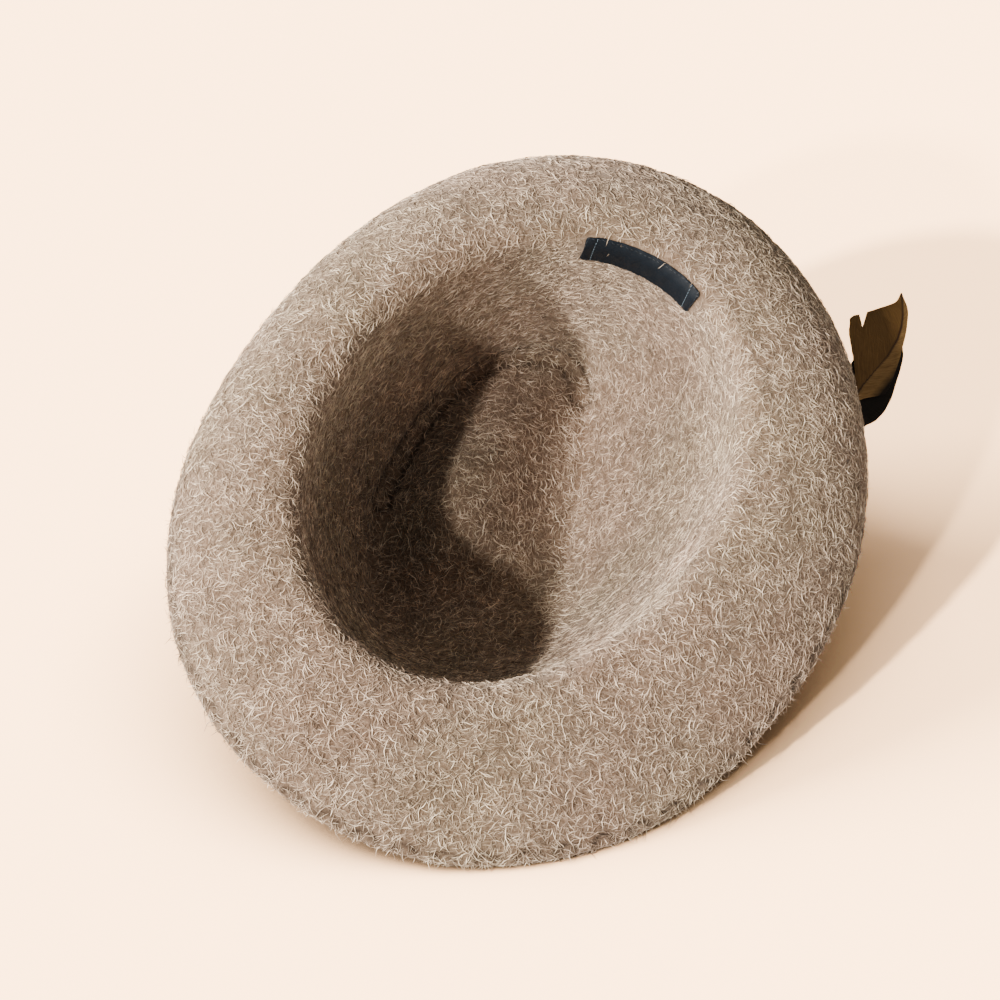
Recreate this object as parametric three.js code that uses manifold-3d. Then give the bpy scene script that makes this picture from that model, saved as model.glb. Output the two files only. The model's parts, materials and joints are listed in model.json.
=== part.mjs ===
// Tyrolean hat of long-haired felt, lying upside down and leaning on its brim.
// Millimetres. The hat is shaped in its own frame: +Z towards the top of the crown, the front at -Y and
// the wearer's left at +X, with the headline in the plane z = 0. The outer group then lays it down, +Z up.
// Azimuths go round the hat in degrees: 0 at the front, 90 at the wearer's left, 180 at the back.

import * as THREE from "three";
import { mergeVertices } from "three/addons/utils/BufferGeometryUtils.js";
import Module from "manifold-3d";

const wasm = await Module();
wasm.setup();

// Felt
const headHalfWidth = 78; // inside of the felt at the headline
const headHalfLength = 101;
const feltThickness = 2.6;
const crownHeight = 98; // headline to the ridge round the tip, at its highest
const dentDepth = 24; // how far the tip is pushed in below that ridge
const rollRadius = 8; // turn between crown and brim
const brimWidth = 62; // along the felt, from the roll to the edge
const wallFlare = 4; // lean of the crown's foot, degrees

// The ridge round the tip, seen from above: shares of the half width, half length and crown height
const ridge = [
  { azimuth: 0, across: 0.02, along: -0.64, height: 0.92 },
  { azimuth: 30, across: 0.30, along: -0.56, height: 0.93 },
  { azimuth: 60, across: 0.55, along: -0.32, height: 0.95 },
  { azimuth: 90, across: 0.68, along: 0.02, height: 0.97 },
  { azimuth: 120, across: 0.71, along: 0.37, height: 0.99 },
  { azimuth: 150, across: 0.59, along: 0.66, height: 1.0 },
  { azimuth: 180, across: 0.28, along: 0.81, height: 1.0 },
  { azimuth: 210, across: -0.04, along: 0.60, height: 1.0 },
  { azimuth: 240, across: -0.29, along: 0.26, height: 1.0 },
  { azimuth: 270, across: -0.47, along: -0.04, height: 0.99 },
  { azimuth: 300, across: -0.45, along: -0.27, height: 0.96 },
  { azimuth: 330, across: -0.25, along: -0.49, height: 0.94 },
];
const deepest = { across: 0.22, along: -0.12 }; // where the tip is pushed in most, in the same shares

// The brim: width as a share of brimWidth, its slope at the roll and at the edge, and how late it curls
const brim = [
  { azimuth: 0, width: 0.90, start: 2, edge: 22, late: 1.3 },
  { azimuth: 45, width: 0.82, start: 2, edge: 68, late: 1.3 },
  { azimuth: 90, width: 0.80, start: 2, edge: 100, late: 1.2 },
  { azimuth: 135, width: 0.97, start: 2, edge: 98, late: 1.2 },
  { azimuth: 180, width: 1.04, start: 2, edge: 90, late: 1.25 },
  { azimuth: 225, width: 1.08, start: 2, edge: 78, late: 1.3 },
  { azimuth: 270, width: 0.97, start: 2, edge: 42, late: 1.3 },
  { azimuth: 315, width: 1.03, start: 2, edge: 16, late: 1.3 },
];
const shoulder = 0.10; // how far the crown's side stands out before it turns down, as a share of its flare
const belly = 0.90; // the same lower down, at bellyHeight
const bellyHeight = 0.50;

// Band, its flat knot and the clearance between pieces that touch
const clearance = 0.3;
const bandWidth = 14;
const bandThickness = 1.2;
const knotAzimuth = 255;
const knotLength = 26;
const knotHeight = 19;
const knotThickness = 5.5;
const knotCorner = 4;
const knotRise = 19; // slope of the quills where they leave the knot, degrees
const socketDepth = 10;

// Feathers
const quillRadius = 1.1;
const quillTaper = 0.35; // shaft at the tip as a share of the quill
const ridgeShare = 0.7; // the eight-sided shaft's slanting corners, as a share of its radius
const vaneThickness = 0.7;
const vaneCamber = 0.12; // sag of a vane across its width
const brownLength = 176; // knot to tip
const blackLength = 160;
const vaneWidth = 25;
const quillSpacing = 6.4; // between the two sockets
const featherSpacing = 3.2; // between the two vanes, where they lie on each other

// The way a feather takes from the knot: away from the crown, back, and up, as shares of its length
const featherRoute = [
  { away: 0.066, back: 0.181, up: 0.065 },
  { away: 0.130, back: 0.322, up: 0.123 },
  { away: 0.177, back: 0.453, up: 0.165 },
  { away: 0.204, back: 0.563, up: 0.192 },
  { away: 0.226, back: 0.672, up: 0.209 },
  { away: 0.239, back: 0.780, up: 0.221 },
  { away: 0.231, back: 0.862, up: 0.234 },
  { away: 0.210, back: 0.920, up: 0.248 },
];

// Half widths of the vanes on the crown's side and away from it: shares of the length and of vaneWidth
const brownVane = [
  { along: 0.00, inner: 0.0, outer: 0.0 },
  { along: 0.09, inner: 0.0, outer: 0.0 },
  { along: 0.60, inner: 0.0, outer: 0.0 },
  { along: 0.65, inner: 0.10, outer: 0.06 },
  { along: 0.71, inner: 0.36, outer: 0.38 },
  { along: 0.78, inner: 0.85, outer: 0.29 },
  { along: 0.82, inner: 0.96, outer: 0.23 },
  { along: 0.84, inner: 0.92, outer: 0.19 },
  { along: 0.88, inner: 0.74, outer: 0.16 },
  { along: 0.92, inner: 0.51, outer: 0.13 },
  { along: 0.95, inner: 0.30, outer: 0.12 },
  { along: 0.97, inner: 0.12, outer: 0.09 },
  { along: 1.00, inner: 0.0, outer: 0.0 },
];
const blackVane = [
  { along: 0.00, inner: 0.0, outer: 0.0 },
  { along: 0.10, inner: 0.0, outer: 0.0 },
  { along: 0.22, inner: 0.0, outer: 0.0 },
  { along: 0.32, inner: 0.26, outer: 0.20 },
  { along: 0.46, inner: 0.36, outer: 0.30 },
  { along: 0.58, inner: 0.36, outer: 0.36 },
  { along: 0.65, inner: 0.34, outer: 0.46 },
  { along: 0.69, inner: 0.32, outer: 0.57 },
  { along: 0.73, inner: 0.34, outer: 0.61 },
  { along: 0.78, inner: 0.38, outer: 0.58 },
  { along: 0.83, inner: 0.40, outer: 0.50 },
  { along: 0.90, inner: 0.38, outer: 0.45 },
  { along: 0.96, inner: 0.24, outer: 0.30 },
  { along: 1.00, inner: 0.0, outer: 0.0 },
];

// Label
const labelLength = 52;
const labelHeight = 17;
const labelThickness = 0.6;
const labelAzimuth = 171; // its middle
const labelDrop = 6.5; // how far it reaches below the headline, over the roll

// How it lies
const lowestAzimuth = 313; // the part of the brim that touches the floor
const crownGive = 11; // how far the felt of the crown flattens on the floor
const brimGive = 1.5;
const heading = -79; // direction of the lowest brim part on the floor, degrees from +X

// Mesh
const around = 64;
const tipRings = 7;
const wallRings = 10;
const rollRings = 5;
const brimRings = 11;
const bandRows = 3;
const labelRows = 6;
const labelColumns = 16;
const featherSteps = 3; // sections for each row of a vane's table

const radians = THREE.MathUtils.degToRad;

// A value from a table whose rows go evenly round the hat, on a smooth closed curve through them
function tableValue(table, column, azimuth) {
  const step = 360 / table.length;
  const place = THREE.MathUtils.euclideanModulo(azimuth, 360) / step;
  const row = Math.floor(place);
  const t = place - row;
  const at = (k) => table[(row + k + table.length) % table.length][column];
  const [a, b, c, d] = [at(-1), at(0), at(1), at(2)];
  return 0.5 * (2 * b + (c - a) * t + (2 * a - 5 * b + 4 * c - d) * t ** 2 + (3 * b - a - 3 * c + d) * t ** 3);
}

// A point of the headline oval, offset outwards
function headPoint(azimuth, offset) {
  const a = radians(azimuth);
  const outward = outwardAt(azimuth);
  return new THREE.Vector3(headHalfWidth * Math.sin(a), -headHalfLength * Math.cos(a), 0).addScaledVector(outward, offset);
}

function outwardAt(azimuth) {
  const a = radians(azimuth);
  return new THREE.Vector3(Math.sin(a) / headHalfWidth, -Math.cos(a) / headHalfLength, 0).normalize();
}

function ridgePoint(azimuth) {
  return new THREE.Vector3(
    tableValue(ridge, "across", azimuth) * headHalfWidth,
    tableValue(ridge, "along", azimuth) * headHalfLength,
    tableValue(ridge, "height", azimuth) * crownHeight,
  );
}

// The middle of the felt along one azimuth, from the middle of the tip to the edge of the brim
function feltProfile(azimuth) {
  const points = [];
  const top = ridgePoint(azimuth);
  const middle = new THREE.Vector3(deepest.across * headHalfWidth, deepest.along * headHalfLength, 0);
  for (let i = 0; i <= tipRings; i += 1) {
    const r = i / tipRings;
    const p = middle.clone().lerp(new THREE.Vector3(top.x, top.y, 0), r);
    p.z = THREE.MathUtils.lerp(crownHeight, top.z, r ** 2) - dentDepth * 0.5 * (1 + Math.cos(Math.PI * r));
    points.push(p);
  }
  const foot = headPoint(azimuth, feltThickness / 2);
  const flare = (share, height) => new THREE.Vector3().lerpVectors(top, foot, share).setZ(height);
  const side = new THREE.CubicBezierCurve3(top, flare(shoulder, top.z), flare(belly, top.z * bellyHeight), foot);
  for (let i = 1; i <= wallRings; i += 1) {
    points.push(side.getPoint(i / wallRings));
  }
  const outward = outwardAt(azimuth);
  const brimStart = radians(tableValue(brim, "start", azimuth));
  const brimEdge = radians(tableValue(brim, "edge", azimuth));
  const late = tableValue(brim, "late", azimuth);
  const width = tableValue(brim, "width", azimuth) * brimWidth;
  const down = radians(wallFlare - 90);
  const walk = (length, rings, slopeAt) => {
    const fine = 6;
    const p = points[points.length - 1].clone();
    for (let i = 0; i < rings; i += 1) {
      for (let j = 0; j < fine; j += 1) {
        const slope = slopeAt((i + (j + 0.5) / fine) / rings);
        const stepLength = length / rings / fine;
        p.addScaledVector(outward, Math.cos(slope) * stepLength);
        p.z += Math.sin(slope) * stepLength;
      }
      points.push(p.clone());
    }
  };
  walk(rollRadius * (brimStart - down), rollRings, (t) => down + (brimStart - down) * t);
  walk(width, brimRings, (t) => brimStart + (brimEdge - brimStart) * t ** late);
  return points;
}

const firstBrimRing = tipRings + wallRings + rollRings;

// Up from the floor, in the hat's frame, when it leans by an angle
function upWhenLeaning(lean) {
  const low = radians(lowestAzimuth);
  const lowSide = new THREE.Vector3(Math.sin(low), -Math.cos(low), 0);
  return new THREE.Vector3(0, 0, -Math.cos(lean)).addScaledVector(lowSide, -Math.sin(lean)).normalize();
}

function lowest(rows, up) {
  return Math.min(...rows.flat().map((point) => point.dot(up)));
}

// The hat comes to rest on crown and brim together: the lean at which both touch the floor
function restingFloor(rows) {
  const crownRows = rows.slice(0, tipRings + wallRings);
  const brimRows = rows.slice(firstBrimRing);
  let small = radians(5);
  let large = radians(80);
  for (let i = 0; i < 40; i += 1) {
    const lean = (small + large) / 2;
    const up = upWhenLeaning(lean);
    if (lowest(crownRows, up) + crownGive < lowest(brimRows, up) + brimGive) small = lean;
    else large = lean;
  }
  const up = upWhenLeaning(large);
  return new THREE.Plane(up, -lowest(brimRows, up) - brimGive);
}

// Felt that would go through the floor lies flat on it, and turns into its flat part smoothly
function layOnFloor(point, floor, clearance, give) {
  const blend = give / 2;
  const over = floor.distanceToPoint(point) - clearance;
  if (over >= blend) return;
  const lifted = over <= -blend ? 0 : (over + blend) ** 2 / (4 * blend);
  point.addScaledVector(floor.normal, lifted - over);
}

// The two faces of the felt, from its middle surface: grids of points, ring by ring
function feltFaces(profiles) {
  const rings = profiles[0].length;
  const column = (j) => profiles[THREE.MathUtils.euclideanModulo(j, around)];
  const crownSide = [];
  const headSide = [];
  for (let i = 0; i < rings; i += 1) {
    crownSide.push([]);
    headSide.push([]);
    for (let j = 0; j < around; j += 1) {
      const along = new THREE.Vector3().subVectors(column(j)[Math.min(i + 1, rings - 1)], column(j)[Math.max(i - 1, 0)]);
      const across = new THREE.Vector3().subVectors(column(j + 1)[Math.max(i, 1)], column(j - 1)[Math.max(i, 1)]);
      const normal = new THREE.Vector3().crossVectors(along, across).normalize();
      if (i === 0) normal.set(0, 0, 1);
      crownSide[i].push(column(j)[i].clone().addScaledVector(normal, feltThickness / 2));
      headSide[i].push(column(j)[i].clone().addScaledVector(normal, -feltThickness / 2));
    }
  }
  return { crownSide, headSide };
}

// A closed mesh between two like grids, closed at the pole or open into a rim at both ends
function shellGeometry(front, back, { pole = false, closedRound = true } = {}) {
  const positions = [];
  const triangles = [];
  const rows = front.length;
  const columns = front[0].length;
  const place = (side, i, j) => (side * rows + i) * columns + (closedRound ? j % columns : j);
  for (const grid of [front, back]) {
    for (const row of grid) {
      for (const p of row) positions.push(p.x, p.y, p.z);
    }
  }
  const quad = (a, b, c, d) => triangles.push(a, b, c, a, c, d);
  const spans = closedRound ? columns : columns - 1;
  for (let i = 0; i < rows - 1; i += 1) {
    for (let j = 0; j < spans; j += 1) {
      quad(place(0, i, j), place(0, i + 1, j), place(0, i + 1, j + 1), place(0, i, j + 1));
      quad(place(1, i, j), place(1, i, j + 1), place(1, i + 1, j + 1), place(1, i + 1, j));
    }
  }
  for (let j = 0; j < spans; j += 1) {
    quad(place(0, rows - 1, j), place(1, rows - 1, j), place(1, rows - 1, j + 1), place(0, rows - 1, j + 1));
    if (!pole) quad(place(0, 0, j + 1), place(1, 0, j + 1), place(1, 0, j), place(0, 0, j));
  }
  if (!closedRound) {
    for (let i = 0; i < rows - 1; i += 1) {
      const j = columns - 1;
      quad(place(0, i, 0), place(1, i, 0), place(1, i + 1, 0), place(0, i + 1, 0));
      quad(place(0, i + 1, j), place(1, i + 1, j), place(1, i, j), place(0, i, j));
    }
  }
  const geometry = new THREE.BufferGeometry();
  geometry.setAttribute("position", new THREE.Float32BufferAttribute(positions, 3));
  geometry.setIndex(triangles);
  const merged = mergeVertices(geometry, 1e-4);
  const index = merged.index.array;
  const kept = [];
  for (let k = 0; k < index.length; k += 3) {
    const [a, b, c] = [index[k], index[k + 1], index[k + 2]];
    if (a !== b && b !== c && c !== a) kept.push(a, b, c);
  }
  merged.setIndex(kept);
  return merged;
}

const azimuths = Array.from({ length: around }, (_, j) => (360 * j) / around);
const faces = feltFaces(azimuths.map(feltProfile));
const floor = restingFloor(faces.crownSide);
for (let i = 0; i < faces.crownSide.length; i += 1) {
  const give = i < firstBrimRing ? crownGive : brimGive;
  for (const point of faces.crownSide[i]) layOnFloor(point, floor, 0, give);
  for (const point of faces.headSide[i]) layOnFloor(point, floor, feltThickness, give);
}

// The point at a distance from the headline up the felt, along one column of a grid, given as a real number
function onFelt(grid, column, distance) {
  const left = Math.floor(column);
  const at = (ring) => {
    const row = grid[ring];
    const a = row[THREE.MathUtils.euclideanModulo(left, around)];
    const b = row[THREE.MathUtils.euclideanModulo(left + 1, around)];
    return a.clone().lerp(b, column - left);
  };
  const step = distance > 0 ? -1 : 1;
  let ring = tipRings + wallRings;
  let rest = Math.abs(distance);
  let from = at(ring);
  for (;;) {
    const to = at(ring + step);
    const length = from.distanceTo(to);
    if (rest <= length) return from.lerp(to, rest / length);
    rest -= length;
    ring += step;
    from = to;
  }
}

// Two grids at a distance from a face of the felt and from each other, for what is sewn or laid on it
function layerOnFelt(grid, columns, distances, side, offset, thickness) {
  const near = [];
  const far = [];
  const small = 0.5;
  for (const distance of distances) {
    near.push([]);
    far.push([]);
    for (const column of columns) {
      const point = onFelt(grid, column, distance);
      const along = onFelt(grid, column, distance - small).sub(onFelt(grid, column, distance + small));
      const across = onFelt(grid, column + small, distance).sub(onFelt(grid, column - small, distance));
      const normal = new THREE.Vector3().crossVectors(along, across).normalize().multiplyScalar(side);
      near[near.length - 1].push(point.clone().addScaledVector(normal, offset));
      far[far.length - 1].push(point.clone().addScaledVector(normal, offset + thickness));
    }
  }
  return { near, far };
}

function bandGeometry() {
  const columns = Array.from({ length: around }, (_, j) => j);
  const distances = Array.from({ length: bandRows }, (_, i) => bandWidth * (1 - i / (bandRows - 1)));
  const { near, far } = layerOnFelt(faces.crownSide, columns, distances, 1, clearance, bandThickness);
  return shellGeometry(far, near);
}

function labelGeometry() {
  const middle = (labelAzimuth / 360) * around;
  const perColumn = onFelt(faces.headSide, middle - 1, 0).distanceTo(onFelt(faces.headSide, middle + 1, 0)) / 2;
  const share = (k, count) => k / (count - 1);
  const columns = Array.from({ length: labelColumns }, (_, j) => (
    middle + (share(j, labelColumns) - 0.5) * (labelLength / perColumn)
  ));
  const distances = Array.from({ length: labelRows }, (_, i) => labelHeight * (1 - share(i, labelRows)) - labelDrop);
  const { near, far } = layerOnFelt(faces.headSide, columns, distances, -1, clearance, labelThickness);
  return shellGeometry(near, far, { closedRound: false });
}

// The knot sits on the band: its frame has x along the quills, y up the band and z away from the crown
function knotFrame() {
  const column = (knotAzimuth / 360) * around;
  const point = onFelt(faces.crownSide, column, bandWidth / 2);
  const back = onFelt(faces.crownSide, column - 1, bandWidth / 2).sub(onFelt(faces.crownSide, column + 1, bandWidth / 2));
  const up = onFelt(faces.crownSide, column, bandWidth).sub(onFelt(faces.crownSide, column, 0)).normalize();
  const away = new THREE.Vector3().crossVectors(up, back).normalize();
  back.crossVectors(away, up).normalize();
  point.addScaledVector(away, clearance + bandThickness + clearance + knotThickness / 2);
  return { point, back, up, away };
}

const knot = knotFrame();

// Places given from the knot: away from the crown, back along the band, and up
function fromKnot(away, back, up) {
  return knot.point.clone()
    .addScaledVector(knot.away, away)
    .addScaledVector(knot.back, back)
    .addScaledVector(knot.up, up);
}

function quillPoint(offset, distance) {
  const rise = radians(knotRise);
  return fromKnot(
    0,
    distance * Math.cos(rise) - offset * Math.sin(rise),
    distance * Math.sin(rise) + offset * Math.cos(rise),
  );
}

function knotGeometry() {
  const outline = new THREE.Shape();
  const [x, y, r] = [knotLength / 2, knotHeight / 2, knotCorner];
  outline.moveTo(x - r, -y).absarc(x - r, r - y, r, -Math.PI / 2, 0);
  outline.absarc(x - r, y - r, r, 0, Math.PI / 2).absarc(r - x, y - r, r, Math.PI / 2, Math.PI);
  outline.absarc(r - x, r - y, r, Math.PI, 1.5 * Math.PI);
  const edge = knotThickness / 5;
  const block = new THREE.ExtrudeGeometry(outline, {
    depth: knotThickness - 2 * edge,
    bevelThickness: edge,
    bevelSize: edge,
    bevelOffset: -edge,
    bevelSegments: 2,
    curveSegments: 4,
  });
  block.translate(0, 0, edge - knotThickness / 2);
  const rise = radians(knotRise);
  const along = knot.back.clone().multiplyScalar(Math.cos(rise)).addScaledVector(knot.up, Math.sin(rise));
  const upright = new THREE.Vector3().crossVectors(knot.away, along);
  block.applyMatrix4(new THREE.Matrix4().makeBasis(along, upright, knot.away).setPosition(knot.point));
  let solid = toSolid(block);
  for (const offset of [-quillSpacing / 2, quillSpacing / 2]) {
    const socket = new THREE.CylinderGeometry(quillRadius + clearance, quillRadius + clearance, 2 * socketDepth, 12);
    const turn = new THREE.Quaternion().setFromUnitVectors(new THREE.Vector3(0, 1, 0), along);
    socket.applyQuaternion(turn).translate(...quillPoint(offset, knotLength / 2).toArray());
    solid = solid.subtract(toSolid(socket));
  }
  return toGeometry(solid);
}

function toSolid(geometry) {
  const bare = geometry.clone();
  bare.deleteAttribute("normal");
  bare.deleteAttribute("uv");
  const merged = mergeVertices(bare, 1e-4);
  return new wasm.Manifold(new wasm.Mesh({
    numProp: 3,
    vertProperties: new Float32Array(merged.attributes.position.array),
    triVerts: new Uint32Array(merged.index.array),
  }));
}

function toGeometry(solid) {
  const mesh = solid.getMesh();
  const geometry = new THREE.BufferGeometry();
  geometry.setAttribute("position", new THREE.BufferAttribute(mesh.vertProperties, 3));
  geometry.setIndex(new THREE.BufferAttribute(mesh.triVerts, 1));
  return geometry;
}

// A feather is a thin section with a thicker shaft, carried along its route from the socket to the tip
function featherGeometry(length, vane, socketOffset, lift) {
  const start = [knotLength / 2 - socketDepth + clearance, knotLength / 2, knotLength / 2 + socketDepth / 2];
  const quill = start.map((distance) => quillPoint(socketOffset, distance));
  const route = featherRoute.map(({ away, back, up }) => fromKnot(away * length, back * length, up * length + lift));
  const curve = new THREE.CatmullRomCurve3([...quill, ...route], false, "centripetal");
  const sections = [];
  for (let k = 0; k < vane.length - 1; k += 1) {
    for (let i = 0; i < featherSteps; i += 1) sections.push(vaneSection(curve, vane, k + i / featherSteps));
  }
  sections.push(vaneSection(curve, vane, vane.length - 1));
  return loftGeometry(sections);
}

// The section at a place in a vane's table, given as a row number with a fraction
function vaneSection(curve, vane, place) {
  const row = Math.min(Math.floor(place), vane.length - 2);
  const value = (column) => THREE.MathUtils.lerp(vane[row][column], vane[row + 1][column], place - row);
  const t = value("along");
  const point = curve.getPointAt(t);
  const along = curve.getTangentAt(t);
  const outer = knot.away.clone().addScaledVector(along, -knot.away.dot(along)).normalize();
  const face = new THREE.Vector3().crossVectors(outer, along).normalize();
  const shaft = quillRadius * THREE.MathUtils.lerp(1, quillTaper, t);
  const corner = ridgeShare * shaft;
  const inside = Math.max(value("inner") * vaneWidth, shaft);
  const outside = Math.max(value("outer") * vaneWidth, shaft);
  const edge = Math.min(vaneThickness / 2, quillTaper * shaft);
  const at = (across, height) => point.clone()
    .addScaledVector(outer, across)
    .addScaledVector(face, height + (vaneCamber * across * across) / vaneWidth);
  return [
    at(outside, -edge), at(outside, edge), at(corner, corner), at(0, shaft), at(-corner, corner),
    at(-inside, edge), at(-inside, -edge), at(-corner, -corner), at(0, -shaft), at(corner, -corner),
  ];
}

function loftGeometry(sections) {
  const count = sections[0].length;
  const positions = sections.flat().flatMap((p) => p.toArray());
  const triangles = [];
  for (let i = 0; i < sections.length - 1; i += 1) {
    for (let j = 0; j < count; j += 1) {
      const [a, b] = [i * count + j, i * count + ((j + 1) % count)];
      triangles.push(a, b + count, b, a, a + count, b + count);
    }
  }
  const centres = [sections[0], sections[sections.length - 1]].map((ring) => (
    ring.reduce((sum, p) => sum.add(p), new THREE.Vector3()).divideScalar(count)
  ));
  const first = positions.length / 3;
  for (const centre of centres) positions.push(...centre.toArray());
  const last = (sections.length - 1) * count;
  for (let j = 0; j < count; j += 1) {
    const next = (j + 1) % count;
    triangles.push(first, j, next, first + 1, last + next, last + j);
  }
  const geometry = new THREE.BufferGeometry();
  geometry.setAttribute("position", new THREE.Float32BufferAttribute(positions, 3));
  geometry.setIndex(triangles);
  return geometry;
}

function namedMesh(name, geometry, color, roughness) {
  geometry.computeVertexNormals();
  const mesh = new THREE.Mesh(geometry, new THREE.MeshStandardMaterial({ color, roughness, metalness: 0 }));
  mesh.name = name;
  return mesh;
}

const hat = new THREE.Group();
hat.add(namedMesh("felt_body", shellGeometry(faces.crownSide, faces.headSide, { pole: true }), 0xb3a08c, 0.95));
hat.add(namedMesh("hat_band", bandGeometry(), 0x2b211a, 0.8));
hat.add(namedMesh("band_knot", knotGeometry(), 0x2b211a, 0.8));
hat.add(namedMesh("feather_brown", featherGeometry(brownLength, brownVane, -quillSpacing / 2, 0), 0x4d3417, 0.6));
hat.add(namedMesh("feather_black", featherGeometry(blackLength, blackVane, quillSpacing / 2, featherSpacing), 0x0e0704, 0.5));
hat.add(namedMesh("label", labelGeometry(), 0x17222d, 0.5));

// Lay the hat down: floor at z = 0, low side of the brim towards the heading, middle of its box at x = y = 0
const lowDirection = new THREE.Vector3(Math.sin(radians(lowestAzimuth)), -Math.cos(radians(lowestAzimuth)), 0);
lowDirection.projectOnPlane(floor.normal).normalize();
const leftOfLow = new THREE.Vector3().crossVectors(floor.normal, lowDirection);
const fromHat = new THREE.Matrix4().makeBasis(lowDirection, leftOfLow, floor.normal).transpose();
hat.quaternion.setFromRotationMatrix(new THREE.Matrix4().makeRotationZ(radians(heading)).multiply(fromHat));
hat.updateMatrixWorld(true);
const box = new THREE.Box3().setFromObject(hat, true);
const middle = box.getCenter(new THREE.Vector3());
hat.position.set(-middle.x, -middle.y, floor.constant);

const resting = new THREE.Group();
resting.add(hat);

export default resting;
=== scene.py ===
# %% [markdown]
# A tyrolean hat of long-haired felt lies upside down, leaning on its brim.
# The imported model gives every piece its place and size. This lesson dresses those pieces: the felt gets
# its softness and its hairs, the feathers their barbs, the label its weave and stitches.

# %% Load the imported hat
import json
import math
import random

import bmesh
import bpy
import numpy as np
from mathutils import Matrix, Vector, noise
from mathutils.kdtree import KDTree

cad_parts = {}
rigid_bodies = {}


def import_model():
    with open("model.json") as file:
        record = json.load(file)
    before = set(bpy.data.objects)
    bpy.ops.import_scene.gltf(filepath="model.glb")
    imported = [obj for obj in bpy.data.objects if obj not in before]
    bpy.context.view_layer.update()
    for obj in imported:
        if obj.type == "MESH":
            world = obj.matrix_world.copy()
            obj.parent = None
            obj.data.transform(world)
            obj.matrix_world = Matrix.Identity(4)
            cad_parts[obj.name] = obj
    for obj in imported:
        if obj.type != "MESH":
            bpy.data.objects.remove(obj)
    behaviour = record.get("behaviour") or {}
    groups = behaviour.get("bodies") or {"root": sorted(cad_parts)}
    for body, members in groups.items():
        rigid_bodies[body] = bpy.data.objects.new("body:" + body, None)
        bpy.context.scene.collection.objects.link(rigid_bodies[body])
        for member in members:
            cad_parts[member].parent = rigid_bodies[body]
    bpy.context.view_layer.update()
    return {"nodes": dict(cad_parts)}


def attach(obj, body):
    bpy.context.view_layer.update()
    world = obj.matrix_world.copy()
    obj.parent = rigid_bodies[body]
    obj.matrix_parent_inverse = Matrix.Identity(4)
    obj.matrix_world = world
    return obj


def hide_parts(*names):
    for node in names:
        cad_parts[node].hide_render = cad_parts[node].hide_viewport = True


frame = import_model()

MM = 0.001
print("nodes:", sorted(frame["nodes"]))

# %% [markdown]
# The hat has its own axes, turned against the floor: across to the wearer's left, back along the head, and
# up to the crown. They could be left out, with every later place given in the room, but a place on the hat is
# easier to read when it is said in the hat's own directions. So one helper turns the one into the other.

# %% The hat's own axes
HEADLINE = Vector((-15.555, -0.309, 93.741)) * MM  # middle of the head opening
LEFT = Vector((-0.7834, 0.4560, 0.4223))
BACK = Vector((0.6117, 0.6861, 0.3938))
CROWN = Vector((-0.1102, 0.5668, -0.8164))


def in_room(left, back, crown):
    """A place on the hat, in millimetres from the head opening's middle, as a point of the room."""
    return HEADLINE + (LEFT * left + BACK * back + CROWN * crown) * MM


print("the head opening faces", tuple(round(-x, 2) for x in CROWN))

# %% [markdown]
# The picture looks down into the hollow at 38 degrees. A short lens close by would swell the near brim, so a
# long lens is set about a metre away, which gives the flat perspective of the photograph.

# %% Camera
ELEVATION = math.radians(38)
DISTANCE = 950 * MM
SIDE_STEP = 8.8 * MM
DOWN_STEP = 16.8 * MM
LENS = 85.5
FILM_WIDTH = 36
view_up = Vector((0, math.sin(ELEVATION), math.cos(ELEVATION)))
view_forward = Vector((0, math.cos(ELEVATION), -math.sin(ELEVATION)))
camera_data = bpy.data.cameras.new("camera")
camera_data.lens = LENS
camera_data.sensor_width = FILM_WIDTH
camera_data.clip_end = 50
camera = bpy.data.objects.new("camera", camera_data)
camera.rotation_euler = (math.radians(90) - ELEVATION, 0, 0)
camera.location = HEADLINE - Vector((SIDE_STEP, 0, 0)) - view_up * DOWN_STEP - view_forward * DISTANCE
bpy.context.collection.objects.link(camera)
bpy.context.scene.camera = camera
print("camera at", tuple(round(x, 3) for x in camera.location))

# %% [markdown]
# Two small bright lamps stand low in front, to the left. Each draws one crisp edge inside the hollow, and
# between those edges only one of them shines. A wide soft lamp further to the left lights the brim and gives
# the floor a softer shadow. Sun lamps are used because only their direction matters. The room adds a glow.

# %% Lamps
def add_lamp(name, energy, color, spread, azimuth, height):
    """A distant lamp. Its light travels towards an azimuth, counted from +X, and falls at an angle."""
    data = bpy.data.lights.new(name, "SUN")
    data.energy = energy
    data.color = color
    data.angle = math.radians(spread)
    lamp = bpy.data.objects.new(name, data)
    a, h = math.radians(azimuth), math.radians(height)
    travel = Vector((math.cos(a) * math.cos(h), math.sin(a) * math.cos(h), -math.sin(h)))
    lamp.rotation_euler = travel.to_track_quat("-Z", "Y").to_euler()
    bpy.context.collection.objects.link(lamp)


LAMP_COLOR = (1.0, 0.91, 0.80)
SOFT_COLOR = (1.0, 0.92, 0.82)
ROOM_COLOR = (1.0, 0.92, 0.84, 1)
ROOM_STRENGTH = 0.30
add_lamp("key_lamp", 6.4, LAMP_COLOR, spread=3.0, azimuth=42, height=28)
add_lamp("side_lamp", 2.8, LAMP_COLOR, spread=3.0, azimuth=57, height=24)
add_lamp("wide_lamp", 9.5, SOFT_COLOR, spread=30, azimuth=-6, height=23)
world = bpy.data.worlds.new("room")
world.use_nodes = True
background = world.node_tree.nodes["Background"]
background.inputs["Color"].default_value = ROOM_COLOR
background.inputs["Strength"].default_value = ROOM_STRENGTH
bpy.context.scene.world = world
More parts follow.
